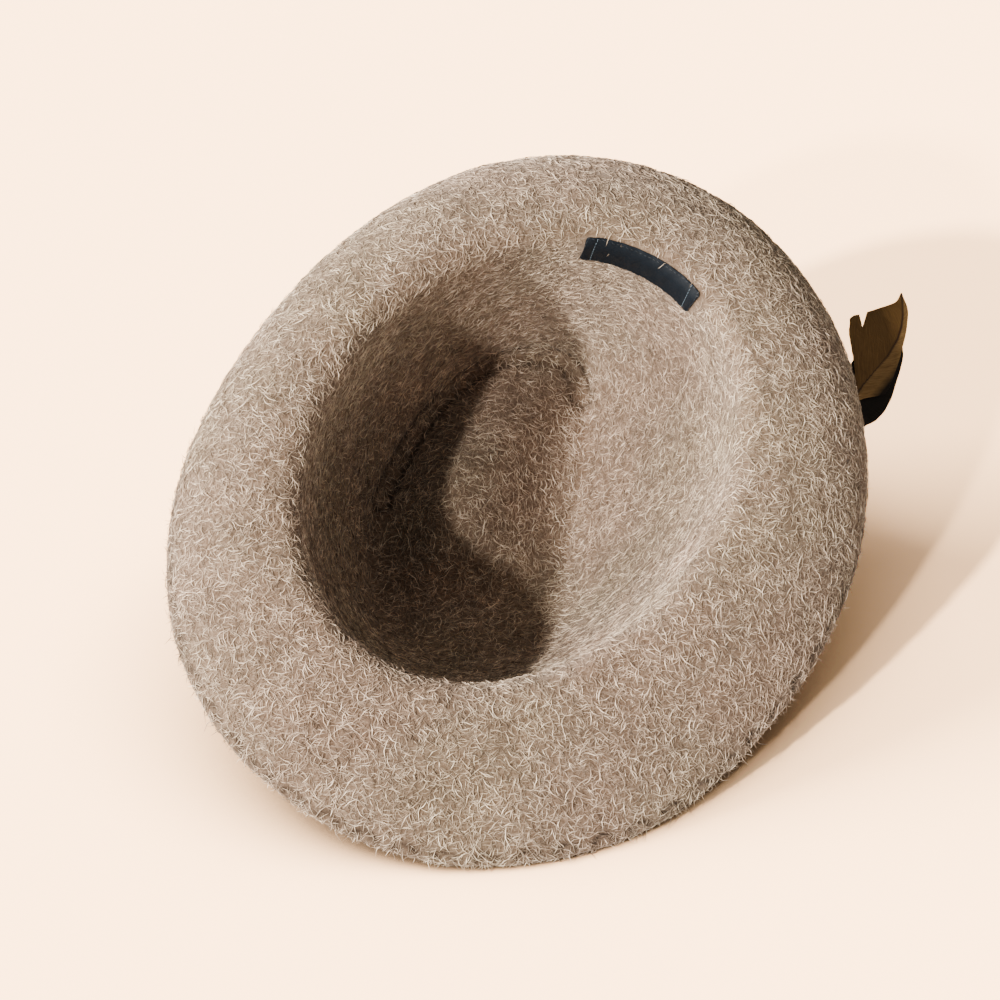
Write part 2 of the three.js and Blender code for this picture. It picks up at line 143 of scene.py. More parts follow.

# %% [markdown]
# The hat lies on a sheet of pale paper, far larger than the picture, so that no edge of it shows. Seen by the
# camera the paper is nearly white, but what it reflects onto the hat is toned down, so that the shaded side
# of the felt stays dark. Close under the hat an ambient occlusion node softly darkens the paper's colour.
# This is painted shade, for where little light gets in.

# %% Floor
PAPER_SEEN = (3.2, 2.05, 1.15, 1)
PAPER_REFLECTED = (0.80, 0.74, 0.67, 1)
PAPER_SHADED = (0.10, 0.068, 0.046, 1)
SHADE_REACH = 0.13
bpy.ops.mesh.primitive_plane_add(size=14, location=(0, 3, 0))
floor = bpy.context.object
floor.name = "floor"
bpy.ops.object.transform_apply(location=True, rotation=False, scale=False)
floor_material = bpy.data.materials.new("paper_floor")
floor_material.use_nodes = True
floor_shader = floor_material.node_tree.nodes["Principled BSDF"]
nodes, links = floor_material.node_tree.nodes, floor_material.node_tree.links
seen = nodes.new("ShaderNodeLightPath")
paper = nodes.new("ShaderNodeMix")
paper.data_type = "RGBA"
paper.inputs["A"].default_value = PAPER_REFLECTED
paper.inputs["B"].default_value = PAPER_SEEN
links.new(seen.outputs["Is Camera Ray"], paper.inputs["Factor"])
# Painted shade: close under the hat the paper's colour is darkened towards PAPER_SHADED.
near_hat = nodes.new("ShaderNodeAmbientOcclusion")
near_hat.inputs["Distance"].default_value = SHADE_REACH
open_sky = nodes.new("ShaderNodeMapRange")
open_sky.inputs["From Min"].default_value = 0.30
open_sky.inputs["From Max"].default_value = 0.95
links.new(near_hat.outputs["AO"], open_sky.inputs["Value"])
shaded = nodes.new("ShaderNodeMix")
shaded.data_type = "RGBA"
shaded.inputs["A"].default_value = PAPER_SHADED
links.new(open_sky.outputs["Result"], shaded.inputs["Factor"])
links.new(paper.outputs["Result"], shaded.inputs["B"])
links.new(shaded.outputs["Result"], floor_shader.inputs["Base Color"])
floor_shader.inputs["Roughness"].default_value = 0.95
floor_shader.inputs["Specular IOR Level"].default_value = 0.0
floor.data.materials.append(floor_material)
print("floor size", tuple(floor.dimensions))

# %% [markdown]
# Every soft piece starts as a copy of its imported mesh. That mesh is loose triangles, so its doubles are
# merged and its triangles are joined to quads, which a subdivision turns into soft curves.

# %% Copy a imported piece


def deselect():
    if bpy.context.object and bpy.context.object.mode != "OBJECT":
        bpy.ops.object.mode_set(mode="OBJECT")
    bpy.ops.object.select_all(action="DESELECT")


def make_active(piece):
    deselect()
    piece.select_set(True)
    bpy.context.view_layer.objects.active = piece


def soft_copy(node, name):
    """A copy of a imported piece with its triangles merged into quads."""
    packed = frame["nodes"][node]
    piece = bpy.data.objects.new(name, packed.data.copy())
    bpy.context.collection.objects.link(piece)
    make_active(piece)
    bpy.ops.mesh.customdata_custom_splitnormals_clear()
    bpy.ops.object.mode_set(mode="EDIT")
    bpy.ops.mesh.select_all(action="SELECT")
    bpy.ops.mesh.remove_doubles(threshold=0.01 * MM)
    bpy.ops.mesh.tris_convert_to_quads(face_threshold=math.radians(60), shape_threshold=math.radians(60))
    bpy.ops.object.mode_set(mode="OBJECT")
    return piece


def finish_soft(piece, levels):
    """Rounds a copied piece by subdivision."""
    make_active(piece)
    smooth = piece.modifiers.new("soft", "SUBSURF")
    smooth.levels = levels
    smooth.render_levels = levels
    bpy.ops.object.modifier_apply(modifier=smooth.name)
    bpy.ops.object.shade_smooth()
    print(piece.name, len(piece.data.polygons), "faces")


def dress(piece, node, material):
    """Gives a piece its finish and its place in the hat."""
    piece.data.materials.clear()
    piece.data.materials.append(material)
    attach(piece, "root")
    if node:
        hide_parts(node)


print("pieces to copy:", len(frame["nodes"]))

# %% [markdown]
# Materials are built from nodes, and a few small helpers keep that short: one for a new material, one for a
# node group, and one each for noise, a colour ramp and a mix.

# %% Helpers for nodes


def new_material(name):
    material = bpy.data.materials.new(name)
    material.use_nodes = True
    return material, material.node_tree.nodes, material.node_tree.links


def new_group(name, inputs, outputs):
    group = bpy.data.node_groups.new(name, "ShaderNodeTree")
    for label, kind, value in inputs:
        socket = group.interface.new_socket(label, in_out="INPUT", socket_type=kind)
        if value is not None:
            socket.default_value = value
    for label, kind in outputs:
        group.interface.new_socket(label, in_out="OUTPUT", socket_type=kind)
    start = group.nodes.new("NodeGroupInput")
    end = group.nodes.new("NodeGroupOutput")
    return group, start, end


def noise_node(nodes, links, vector, scale, detail=3.0, roughness=0.5):
    node = nodes.new("ShaderNodeTexNoise")
    node.inputs["Scale"].default_value = scale
    node.inputs["Detail"].default_value = detail
    node.inputs["Roughness"].default_value = roughness
    links.new(vector, node.inputs["Vector"])
    return node


def ramp_node(nodes, links, value, stops):
    node = nodes.new("ShaderNodeValToRGB")
    elements = node.color_ramp.elements
    while len(elements) < len(stops):
        elements.new(0.5)
    for element, (place, color) in zip(elements, stops):
        element.position = place
        element.color = color
    links.new(value, node.inputs["Fac"])
    return node


def mix_node(nodes, links, factor, a, b, blend="MIX"):
    node = nodes.new("ShaderNodeMix")
    node.data_type = "RGBA"
    node.blend_type = blend
    for socket, value in ((node.inputs["Factor"], factor), (node.inputs["A"], a), (node.inputs["B"], b)):
        if isinstance(value, (int, float, tuple)):
            socket.default_value = value
        else:
            links.new(value, socket)
    return node.outputs["Result"]


print("node helpers ready")

# %% [markdown]
# Felt is a mat of hairs, so its colour is never even. Two effects are shared by the felt and its hairs: large
# cloudy patches where the dye took differently, and a fine mottle. They could be painted twice, but one node
# group used by both materials keeps the patches in the same places on the felt and on the hairs.

# %% Shared colour of the wool
wool_group, wool_in, wool_out = new_group(
    "wool_patches",
    [("Vector", "NodeSocketVector", None), ("Color", "NodeSocketColor", (0.4, 0.33, 0.26, 1))],
    [("Color", "NodeSocketColor")],
)
nodes, links = wool_group.nodes, wool_group.links
large = noise_node(nodes, links, wool_in.outputs["Vector"], 16, 2)
warm = ramp_node(nodes, links, large.outputs["Fac"], [
    (0.36, (0.985, 1.0, 0.965, 1)), (0.5, (1, 1, 1, 1)), (0.64, (1.02, 0.98, 0.985, 1)),
])
medium = noise_node(nodes, links, wool_in.outputs["Vector"], 70, 4)
uneven = ramp_node(nodes, links, medium.outputs["Fac"], [
    (0.3, (0.86, 0.86, 0.86, 1)), (0.7, (1.12, 1.12, 1.12, 1)),
])
tinted = mix_node(nodes, links, 1.0, wool_in.outputs["Color"], warm.outputs["Color"], "MULTIPLY")
mottled = mix_node(nodes, links, 1.0, tinted, uneven.outputs["Color"], "MULTIPLY")
links.new(mottled, wool_out.inputs["Color"])
print("wool group has", len(nodes), "nodes")

# %% [markdown]
# Under the hairs lies the dense felt itself. It is darker and browner than the hairs, with short matted
# fibres pointing every way. Noise stretched in three directions gives these fibres, and the strongest of the
# three wins at each place. The whole ground is then mixed a third of the way towards a painted shade, for the
# shade under its hairs. The pressed line near the brim's edge is darker still. No hair covers it there, and
# painted shade darkens the groove further.

# %% Felt ground material
FINE, LONG = 900, 130
FIBRE_TURNS = (
    ((0.3, 0.5, 0.2), (FINE, LONG, FINE)),
    ((1.2, 0.1, 0.9), (LONG, FINE, FINE)),
    ((0.4, 1.3, 2.1), (FINE, FINE, LONG)),
)
FELT_SHADE = (0.05, 0.033, 0.022, 1)
PRESSED_SHADE = (0.03, 0.019, 0.013, 1)
felt_material, nodes, links = new_material("felt_ground")
shader = nodes["Principled BSDF"]
place = nodes.new("ShaderNodeTexCoord")
fibres = None
for turn, stretch in FIBRE_TURNS:
    mapping = nodes.new("ShaderNodeMapping")
    mapping.inputs["Rotation"].default_value = turn
    mapping.inputs["Scale"].default_value = stretch
    links.new(place.outputs["Object"], mapping.inputs["Vector"])
    strand = noise_node(nodes, links, mapping.outputs["Vector"], 1.0, 2)
    if fibres is None:
        fibres = strand.outputs["Fac"]
    else:
        highest = nodes.new("ShaderNodeMath")
        highest.operation = "MAXIMUM"
        links.new(fibres, highest.inputs[0])
        links.new(strand.outputs["Fac"], highest.inputs[1])
        fibres = highest.outputs[0]
ground = ramp_node(nodes, links, fibres, [
    (0.50, (0.15, 0.098, 0.066, 1)), (0.62, (0.24, 0.17, 0.12, 1)), (0.74, (0.38, 0.285, 0.21, 1)),
])
patches = nodes.new("ShaderNodeGroup")
patches.node_tree = wool_group
links.new(place.outputs["Object"], patches.inputs["Vector"])
links.new(ground.outputs["Color"], patches.inputs["Color"])
line = nodes.new("ShaderNodeAttribute")
line.attribute_name = "pressed"
# Painted shade: the whole felt ground is mixed a third of the way towards FELT_SHADE, for the shade under its
# hairs.
shadowed = mix_node(nodes, links, 0.35, patches.outputs["Color"], FELT_SHADE)
# Painted shade in the pressed groove: the line's mask darkens the colour towards PRESSED_SHADE.
groove_painted_shade = mix_node(nodes, links, line.outputs["Fac"], shadowed, PRESSED_SHADE)
links.new(groove_painted_shade, shader.inputs["Base Color"])
bump = nodes.new("ShaderNodeBump")
bump.inputs["Strength"].default_value = 0.8
bump.inputs["Distance"].default_value = 0.5 * MM
links.new(fibres, bump.inputs["Height"])
links.new(bump.outputs["Normal"], shader.inputs["Normal"])
shader.inputs["Roughness"].default_value = 0.95
shader.inputs["Specular IOR Level"].default_value = 0.1
shader.inputs["Sheen Weight"].default_value = 0.25
shader.inputs["Sheen Roughness"].default_value = 0.6
shader.inputs["Sheen Tint"].default_value = (1.0, 0.92, 0.84, 1)
print("felt ground has", len(nodes), "nodes")

# %% [markdown]
# The felt is one wall with two faces. Its rim, where it was cut, is a narrow strip between two sharp edges.
# Faces could be told apart by their normals, but the brim curls, so they are grown from face to face instead:
# a region ends where an edge is sharp. The two largest are the sides of the felt, and the third is its rim.

# %% Grow the regions of the felt
HEAD_SIDE, CROWN_SIDE, RIM, BARE = 0, 1, 2, 3
SHARP = math.radians(50)
felt = soft_copy("felt_body", "felt")
mesh = bmesh.new()
mesh.from_mesh(felt.data)
side_layer = mesh.faces.layers.int.new("side")
mesh.faces.ensure_lookup_table()


def is_sharp(edge):
    return len(edge.link_faces) != 2 or edge.calc_face_angle(0) > SHARP


def grow_region(start_face, seen):
    """All faces that are reached from one without crossing a sharp edge."""
    faces = []
    queue = [start_face]
    seen.add(start_face)
    while queue:
        face = queue.pop()
        faces.append(face)
        for edge in face.edges:
            if is_sharp(edge):
                continue
            for other in edge.link_faces:
                if other not in seen:
                    seen.add(other)
                    queue.append(other)
    return faces


seen_faces = set()
regions = [grow_region(face, seen_faces) for face in mesh.faces if face not in seen_faces]
regions.sort(key=len, reverse=True)
print("regions of the felt:", [len(r) for r in regions])

# %% [markdown]
# The side that faces the head is the one whose faces, taken together, look away from the crown's top. Each
# face keeps the number of its side, so that later steps can give each side its own hair. Felt under the label
# stays bare.

# %% Number the sides of the felt
rim_points = []
for edge in mesh.edges:
    if len(edge.link_faces) == 2 and is_sharp(edge):
        rim_points += [edge.verts[0].co.copy(), edge.verts[1].co.copy()]


def faces_the_head(faces):
    """Whether these faces, weighed by area, look away from the crown's top."""
    return sum(f.normal.dot(CROWN) * f.calc_area() for f in faces) < 0


for number, faces in enumerate(regions):
    if number > 1:
        side_number = RIM
    elif faces_the_head(faces):
        side_number = HEAD_SIDE
    else:
        side_number = CROWN_SIDE
    for face in faces:
        face[side_layer] = side_number
mesh.to_mesh(felt.data)
mesh.free()
finish_soft(felt, 2)


def tree_of(points):
    """A search tree for the nearest of some points."""
    tree = KDTree(len(points))
    for number, point in enumerate(points):
        tree.insert(point, number)
    tree.balance()
    return tree


NEAR_LABEL = 2.2 * MM
label_tree = tree_of([v.co for v in frame["nodes"]["label"].data.vertices])
for polygon, side in zip(felt.data.polygons, felt.data.attributes["side"].data):
    if label_tree.find(polygon.center)[2] < NEAR_LABEL:
        side.value = BARE
print("faces under the label:", sum(a.value == BARE for a in felt.data.attributes["side"].data))

# %% [markdown]
# Real felt is never a clean surface of revolution. Slow noise moves it in and out by about half a millimetre,
# but not where it rests on the floor. A shallow pressed line follows the brim a few millimetres inside its
# cut edge. Both move the mesh itself, so that they show in the outline and catch the light as real forms do.

# %% Felt: lumps and the pressed line along the brim
rim_tree = tree_of(rim_points)
LINE_INSET = 5.0 * MM
LINE_WIDTH = 1.2 * MM
LINE_DEPTH = 0.9 * MM
LINE_BARE = 0.7 * MM
LUMP = 0.45 * MM
FLAT_BELOW = 4 * MM
FELT_FLOOR = 0.02 * MM
felt_mesh = felt.data
on_head_side = np.zeros(len(felt_mesh.vertices))
for polygon, side in zip(felt_mesh.polygons, felt_mesh.attributes["side"].data):
    if side.value == HEAD_SIDE:
        for v in polygon.vertices:
            on_head_side[v] = 1
# The pressed line is also kept as an attribute, which the felt material uses to paint shade into the groove.
pressed = felt_mesh.attributes.new("pressed", "FLOAT", "POINT")
normals = [v.normal.copy() for v in felt_mesh.vertices]
for v in felt_mesh.vertices:
    inset = rim_tree.find(v.co)[2]
    lump = LUMP * (noise.noise(v.co * 45) + 0.5 * noise.noise(v.co * 130))
    move = lump * min(1, max(0, v.co.z / FLAT_BELOW))
    line = math.exp(-((inset - LINE_INSET) / LINE_WIDTH) ** 2) * on_head_side[v.index]
    pressed.data[v.index].value = line
    v.co += normals[v.index] * (move - LINE_DEPTH * line)
    v.co.z = max(v.co.z, FELT_FLOOR)
for polygon, side in zip(felt_mesh.polygons, felt_mesh.attributes["side"].data):
    if side.value == HEAD_SIDE and abs(rim_tree.find(polygon.center)[2] - LINE_INSET) < LINE_BARE:
        side.value = BARE
dress(felt, "felt_body", felt_material)
print("felt box", [round(x, 3) for x in felt.dimensions])

# %% [markdown]
# The hairs are what makes this felt. Each is a closed sliver of six faces: a three-sided cone whose base is
# drawn out to a second tip, then bent in the middle. Curves could give rounder hairs, but their faces soon
# run into millions, so a few plain kinds are modelled and copies of them are strewn over the felt.

# %% Model the hairs
HAIR_THICK = 0.135 * MM


def model_hair(name, length, bend_side, bend_up):
    """A bent hair with a tip at each end, lying along X."""
    deselect()
    bpy.ops.mesh.primitive_cone_add(vertices=3, radius1=HAIR_THICK, radius2=0, depth=length / 2,
                                    end_fill_type="TRIFAN", rotation=(0, math.radians(90), 0))
    hair = bpy.context.object
    hair.name = name
    bpy.ops.object.transform_apply(location=True, rotation=True, scale=True)
    base = min(v.co.x for v in hair.data.vertices)
    near_base = [v.index for v in hair.data.vertices if v.co.x < base + 0.01 * length]
    base_middle = min(near_base, key=lambda k: hair.data.vertices[k].co.yz.length)
    for k in near_base:
        if k == base_middle:
            hair.data.vertices[k].co.x -= length / 2
        else:
            hair.data.vertices[k].co += Vector((0, bend_side, bend_up))
    return hair


hair_kinds = bpy.data.collections.new("hair_kinds")
bpy.context.scene.collection.children.link(hair_kinds)
hair_shapes = (  # length, bend sideways and bend upwards, in millimetres
    (3.6, 0.2, 0.14), (4.4, -0.35, 0.18), (5.4, 0.45, 0.2),
    (2.9, 0.1, 0.16), (4.8, -0.6, 0.18), (7.0, 0.9, 0.3),
)
for number, (length, side, up) in enumerate(hair_shapes):
    hair = model_hair(f"hair_kind_{number}", length * MM, side * MM, up * MM)
    for owner in hair.users_collection:
        owner.objects.unlink(hair)
    hair_kinds.objects.link(hair)

# %% [markdown]
# Hair colour runs from cream to brown. Noise would change the colour along a hair, so each copy carries one
# tone of its own instead, a number that the material reads. Pale hairs then cross dark ones, as in real wool.

# %% Hair material
hair_material, nodes, links = new_material("wool_hair")
shader = nodes["Principled BSDF"]
tone = nodes.new("ShaderNodeAttribute")
tone.attribute_name = "tone"
place = nodes.new("ShaderNodeTexCoord")
shades = ramp_node(nodes, links, tone.outputs["Fac"], [
    (0.0, (0.12, 0.084, 0.057, 1)), (0.36, (0.32, 0.24, 0.178, 1)),
    (0.72, (0.57, 0.455, 0.345, 1)), (1.0, (0.88, 0.735, 0.58, 1)),
])
patches = nodes.new("ShaderNodeGroup")
patches.node_tree = wool_group
links.new(place.outputs["Object"], patches.inputs["Vector"])
links.new(shades.outputs["Color"], patches.inputs["Color"])
links.new(patches.outputs["Color"], shader.inputs["Base Color"])
shader.inputs["Roughness"].default_value = 0.7
shader.inputs["Specular IOR Level"].default_value = 0.2
shader.inputs["Sheen Weight"].default_value = 0.2
print("hair material:", hair_material.name)

# %% [markdown]
# One small geometry tree strews the hairs. It picks random points on one side of the felt, lays a hair along
# the felt at each, turns it about the normal, tips it a little, raises it a little and makes all copies one
# real mesh. The first half of the tree picks the side and gives each hair its turn.

# %% Parts of the strewing tree


def random_between(tree, kind, low, high, seed):
    """A random value for each hair: a number, or a turn about three axes."""
    node = tree.nodes.new("FunctionNodeRandomValue")
    node.data_type = kind
    first = 0 if kind == "FLOAT_VECTOR" else 2
    node.inputs[first].default_value = low
    node.inputs[first + 1].default_value = high
    node.inputs["Seed"].default_value = seed
    return node.outputs[first // 2]


def only_side(tree, number):
    """True on the faces of the felt that belong to one side."""
    side = tree.nodes.new("GeometryNodeInputNamedAttribute")
    side.data_type = "INT"
    side.inputs["Name"].default_value = "side"
    same = tree.nodes.new("FunctionNodeCompare")
    same.data_type = "INT"
    same.operation = "EQUAL"
    same.inputs[3].default_value = number
    tree.links.new(side.outputs["Attribute"], same.inputs[2])
    return same.outputs[0]


def tipped(tree, upright, tip, seed):
    """Turns each hair about the normal at random, and tips it by a small random angle."""
    angles = random_between(tree, "FLOAT_VECTOR", (-tip, -tip, 0), (tip, tip, math.tau), seed)
    to_rotation = tree.nodes.new("FunctionNodeEulerToRotation")
    rotate = tree.nodes.new("FunctionNodeRotateRotation")
    rotate.rotation_space = "LOCAL"
    tree.links.new(angles, to_rotation.inputs[0])
    tree.links.new(upright, rotate.inputs[0])
    tree.links.new(to_rotation.outputs[0], rotate.inputs[1])
    return rotate.outputs[0]


print("helpers for strewing ready")

# %% [markdown]
# The second half places the hairs, sizes them, gives each its tone and realizes them.

# %% The strewing tree


def strewing_tree(name, side, per_square_metre, seed, sizes, tip, lift):
    tree = bpy.data.node_groups.new(name, "GeometryNodeTree")
    tree.interface.new_socket("Geometry", in_out="INPUT", socket_type="NodeSocketGeometry")
    tree.interface.new_socket("Geometry", in_out="OUTPUT", socket_type="NodeSocketGeometry")
    add, link = tree.nodes.new, tree.links.new
    start = add("NodeGroupInput")
    points = add("GeometryNodeDistributePointsOnFaces")
    points.inputs["Density"].default_value = per_square_metre
    points.inputs["Seed"].default_value = seed
    link(start.outputs[0], points.inputs["Mesh"])
    link(only_side(tree, side), points.inputs["Selection"])
    kinds = add("GeometryNodeCollectionInfo")
    kinds.inputs["Collection"].default_value = hair_kinds
    kinds.inputs["Separate Children"].default_value = True
    kinds.inputs["Reset Children"].default_value = True
    hairs = add("GeometryNodeInstanceOnPoints")
    hairs.inputs["Pick Instance"].default_value = True
    link(points.outputs["Points"], hairs.inputs["Points"])
    link(kinds.outputs[0], hairs.inputs["Instance"])
    link(tipped(tree, points.outputs["Rotation"], tip, seed + 1), hairs.inputs["Rotation"])
    link(random_between(tree, "FLOAT", *sizes, seed + 2), hairs.inputs["Scale"])
    raised = add("GeometryNodeTranslateInstances")
    raised.inputs["Translation"].default_value = (0, 0, lift)
    link(hairs.outputs[0], raised.inputs["Instances"])
    toned = add("GeometryNodeStoreNamedAttribute")
    toned.data_type = "FLOAT"
    toned.domain = "INSTANCE"
    toned.inputs["Name"].default_value = "tone"
    link(raised.outputs[0], toned.inputs["Geometry"])
    link(random_between(tree, "FLOAT", 0, 1, seed + 3), toned.inputs["Value"])
    real = add("GeometryNodeRealizeInstances")
    link(toned.outputs[0], real.inputs[0])
    link(real.outputs[0], add("NodeGroupOutput").inputs[0])
    return tree


# %% [markdown]
# The head side, which shows most, gets three layers of hair, each a little looser than the one under it. The
# crown side gets one layer of longer hair, and the cut rim a fine short one. Each layer is a piece of its
# own, so that none grows too large. Hairs that would pierce the floor are laid flat on it.

# %% Strew hairs over the felt
HAIR_FLOOR = 0.05 * MM


def strew(name, side, per_square_metre, seed, sizes, tip, lift):
    """A new piece of hair on one side of the felt."""
    piece = felt.copy()
    piece.data = felt.data.copy()
    piece.name = name
    piece.parent = None
    for key_name in list(piece.keys()):
        del piece[key_name]
    bpy.context.collection.objects.link(piece)
    make_active(piece)
    strewn = piece.modifiers.new("strewn", "NODES")
    strewn.node_group = strewing_tree(name + "_strewn", side, per_square_metre, seed, sizes, tip, lift * MM)
    bpy.ops.object.modifier_apply(modifier=strewn.name)
    dress(piece, None, hair_material)
    for v in piece.data.vertices:
        v.co.z = max(v.co.z, HAIR_FLOOR)
    print(name, len(piece.data.polygons), "faces")


DENSE, THINNER, RIM_DENSE = 285000, 220000, 1500000
strew("hair_head_side_a", HEAD_SIDE, DENSE, 11, (0.7, 1.2), tip=0.03, lift=0.04)
strew("hair_head_side_b", HEAD_SIDE, DENSE, 27, (0.7, 1.3), tip=0.05, lift=0.10)
strew("hair_head_side_c", HEAD_SIDE, THINNER, 43, (0.7, 1.5), tip=0.09, lift=0.16)
strew("hair_crown_side", CROWN_SIDE, DENSE, 59, (0.9, 1.5), tip=0.06, lift=0.12)
strew("hair_rim", RIM, RIM_DENSE, 71, (0.5, 1.0), tip=0.15, lift=0.03)
for hair in list(hair_kinds.objects):
    bpy.data.objects.remove(hair)

# %% [markdown]
# The ribbon is ribbed across, as grosgrain is. A wave pattern gives the ribs their colour and their relief,
# which is enough for a band that lies mostly in the shade of the brim.

# %% Ribbon material
ribbon_material, nodes, links = new_material("ribbed_ribbon")
shader = nodes["Principled BSDF"]
place = nodes.new("ShaderNodeTexCoord")
ribs = nodes.new("ShaderNodeTexWave")
ribs.wave_type = "BANDS"
ribs.inputs["Scale"].default_value = 160
ribs.inputs["Distortion"].default_value = 0.6
links.new(place.outputs["Object"], ribs.inputs["Vector"])
ribbon_color = ramp_node(nodes, links, ribs.outputs["Fac"], [
    (0.2, (0.012, 0.009, 0.007, 1)), (0.8, (0.035, 0.027, 0.021, 1)),
])
links.new(ribbon_color.outputs["Color"], shader.inputs["Base Color"])
bump = nodes.new("ShaderNodeBump")
bump.inputs["Strength"].default_value = 0.6
bump.inputs["Distance"].default_value = 0.3 * MM
links.new(ribs.outputs["Fac"], bump.inputs["Height"])
links.new(bump.outputs["Normal"], shader.inputs["Normal"])
shader.inputs["Roughness"].default_value = 0.7
print("ribbon material:", ribbon_material.name)

# %% [markdown]
# The band is a plain ribbon round the foot of the crown, and the flat knot on it holds the feathers. Both are
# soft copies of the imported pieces.

# %% Band and knot
band = soft_copy("hat_band", "ribbon_band")
finish_soft(band, 2)
dress(band, "hat_band", ribbon_material)
knot = soft_copy("band_knot", "ribbon_knot")
finish_soft(knot, 1)
dress(knot, "band_knot", ribbon_material)

# %% [markdown]
# A vane is made of barbs that leave the shaft at a slant, all the same way. Each point of a feather gets
# three measures: how far along the shaft it is, how far across, and which barb it belongs to. A picture could
# show the barbs, but here they are raised as fine ridges in the mesh, and the same measures colour them.

# %% Measure a feather along its shaft
SHAFT = [in_room(*p) for p in (
    (-81.1, 27.2, 7.9), (-84.0, 60.0, 21.5), (-88.0, 86.0, 34.0), (-90.0, 110.0, 43.0),
    (-89.0, 126.0, 48.0), (-88.2, 139.0, 51.0), (-88.4, 148.6, 53.0), (-88.7, 159.3, 54.5),
    (-87.5, 169.5, 56.0), (-85.5, 175.7, 57.0), (-82.7, 181.3, 58.0), (-76.3, 190.6, 60.0),
)]
OUTWARD = -LEFT  # away from the crown, on the wearer's right
BARB_SLANT = 1.35
BARB_PITCH = 1.25
BARB_RIDGE = 0.07 * MM
BARB_WANDER = 0.8
SHAFT_HALF = 1.2


def along_and_across(point):
    """Length from the knot along the shaft, and distance across it, positive outwards, in millimetres."""
    best = None
    run = 0.0
    for a, b in zip(SHAFT, SHAFT[1:]):
        span = b - a
        t = min(1, max(0, (point - a).dot(span) / span.length_squared))
        foot = a + span * t
        gap = point - foot
        if best is None or gap.length < best[0]:
            side = gap.dot(OUTWARD - span.normalized() * OUTWARD.dot(span.normalized()))
            best = (gap.length, (run + span.length * t) / MM, math.copysign(gap.length, side) / MM)
        run += span.length
    return best[1], best[2]


def comb(feather):
    """Stores the three measures on a feather and raises its barbs."""
    data = feather.data
    normals = [v.normal.copy() for v in data.vertices]
    measures = {"along": [], "across": [], "barb": []}
    for v, normal in zip(data.vertices, normals):
        along, across = along_and_across(v.co)
        barb = along - BARB_SLANT * abs(across)
        wander = BARB_WANDER * noise.noise(v.co * 300)
        measures["along"].append(along)
        measures["across"].append(across)
        measures["barb"].append(barb + wander)
        vane = min(1, max(0, (abs(across) - SHAFT_HALF) / 1.5))
        v.co += normal * (BARB_RIDGE * vane * math.sin(math.tau * (barb + wander) / BARB_PITCH))
    for name, values in measures.items():
        data.attributes.new(name, "FLOAT", "POINT").data.foreach_set("value", values)
    print(feather.name, len(data.polygons), "faces")


brown = soft_copy("feather_brown", "brown_feather")
finish_soft(brown, 3)
comb(brown)
black = soft_copy("feather_black", "black_feather")
finish_soft(black, 3)
comb(black)

# %% [markdown]
# The brown feather has split near its inner corner, where two barbs came apart. The split could be a dark
# mark, but a real gap shows in the outline too, so a thin wedge is modelled across the vane and cut out.

# %% Split in the brown vane
SPLIT = [in_room(*p) for p in ((-66.4, 166.2, 55.4), (-69.3, 170.4, 55.8), (-72.6, 160.6, 54.6))]
deselect()
bpy.ops.mesh.primitive_cylinder_add(vertices=3, radius=1 * MM, depth=12 * MM, end_fill_type="NGON")
wedge = bpy.context.object
wedge.name = "split_wedge"
bpy.ops.object.transform_apply(location=True, rotation=True, scale=True)
WEDGE_HALF = 6 * MM
through = (SPLIT[1] - SPLIT[0]).cross(SPLIT[2] - SPLIT[0]).normalized() * WEDGE_HALF
corners = sorted(wedge.data.vertices, key=lambda v: math.atan2(v.co.y, v.co.x))
for number, v in enumerate(corners):
    end = 1 if v.co.z > 0 else -1
    v.co = SPLIT[number // 2] + through * end
make_active(wedge)
bpy.ops.object.mode_set(mode="EDIT")
bpy.ops.mesh.select_all(action="SELECT")
bpy.ops.mesh.normals_make_consistent(inside=False)
bpy.ops.object.mode_set(mode="OBJECT")
make_active(brown)
cut = brown.modifiers.new("split", "BOOLEAN")
cut.operation = "DIFFERENCE"
cut.solver = "EXACT"
cut.object = wedge
bpy.ops.object.modifier_apply(modifier=cut.name)
bpy.data.objects.remove(wedge)
print("brown feather after the split:", len(brown.data.polygons))

# %% [markdown]
# Barbs catch the light along their length, so their colour runs in fine streaks. These streaks are painted
# highlights. One node group turns the barb number into streaks, and both feathers use it with their own
# colours.

# %% Shared barb streaks
barb_group, barb_in, barb_out = new_group(
    "barb_streaks",
    [("Dark", "NodeSocketColor", (0, 0, 0, 1)), ("Light", "NodeSocketColor", (1, 1, 1, 1))],
    [("Color", "NodeSocketColor"), ("Height", "NodeSocketFloat")],
)
nodes, links = barb_group.nodes, barb_group.links
barb = nodes.new("ShaderNodeAttribute")
barb.attribute_name = "barb"
across = nodes.new("ShaderNodeAttribute")
across.attribute_name = "across"
joined = nodes.new("ShaderNodeCombineXYZ")
links.new(barb.outputs["Fac"], joined.inputs["X"])
shorter = nodes.new("ShaderNodeMath")
shorter.operation = "MULTIPLY"
shorter.inputs[1].default_value = 0.12
links.new(across.outputs["Fac"], shorter.inputs[0])
links.new(shorter.outputs[0], joined.inputs["Y"])
streaks = noise_node(nodes, links, joined.outputs["Vector"], 1.6, 4, 0.65)
spread = ramp_node(nodes, links, streaks.outputs["Fac"], [(0.32, (0, 0, 0, 1)), (0.68, (1, 1, 1, 1))])
# Painted highlights: along each barb the colour runs between the dark and the light colour.
streaked = mix_node(nodes, links, spread.outputs["Color"], barb_in.outputs["Dark"], barb_in.outputs["Light"])
links.new(streaked, barb_out.inputs["Color"])
links.new(streaks.outputs["Fac"], barb_out.inputs["Height"])
print("barb group has", len(nodes), "nodes")

# %% [markdown]
# Both feathers are dull, a little rough, and have the relief of their barbs. So one function makes the base
# of both materials, and another turns one of the three measures into a mask.

